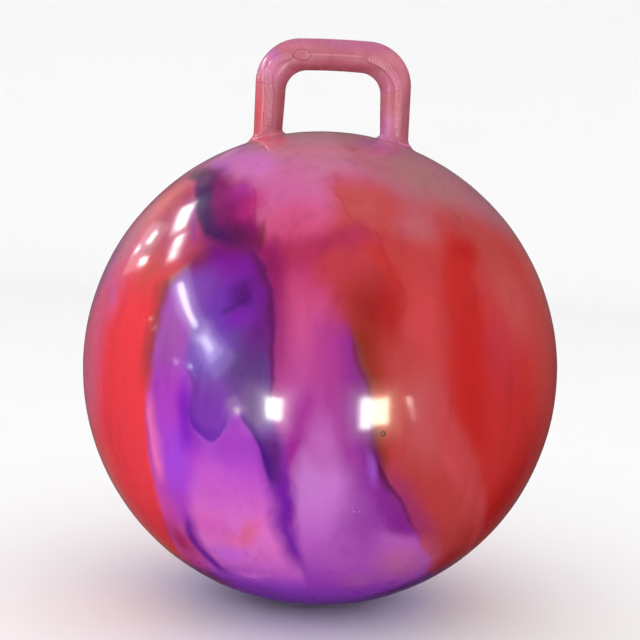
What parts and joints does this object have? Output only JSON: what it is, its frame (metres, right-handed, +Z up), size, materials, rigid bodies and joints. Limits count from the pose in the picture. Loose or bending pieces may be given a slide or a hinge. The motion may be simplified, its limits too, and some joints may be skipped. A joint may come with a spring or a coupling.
{
  "type": "hopper ball",
  "caption": "Inflatable hopper ball in glossy marbled vinyl, with a hollow loop handle moulded on top and a push-in air plug at the back.",
  "frame": {"origin": "middle of the flat patch that the ball stands on", "axes": "+Z up through the ball's centre and the middle of the grip, +X along the grip, +Y towards the valve at the back"},
  "size_m": [0.45, 0.45, 0.534],
  "materials": {
    "marbled_pvc": "gloss",
    "handle_pvc": "satin",
    "seat_pvc": "satin",
    "plug_pvc": "satin"
  },
  "bodies": {
    "ball": {"ball_shell": "marbled_pvc", "handle": "handle_pvc", "valve_seat": "seat_pvc"},
    "plug": {"valve_plug": "plug_pvc"}
  },
  "joints": [
    {"name": "plug_pull", "type": "slide", "parent": "ball", "child": "plug", "axis": [0, 0.6157, 0.788], "range_m": [0, 0.032]}
  ]
}
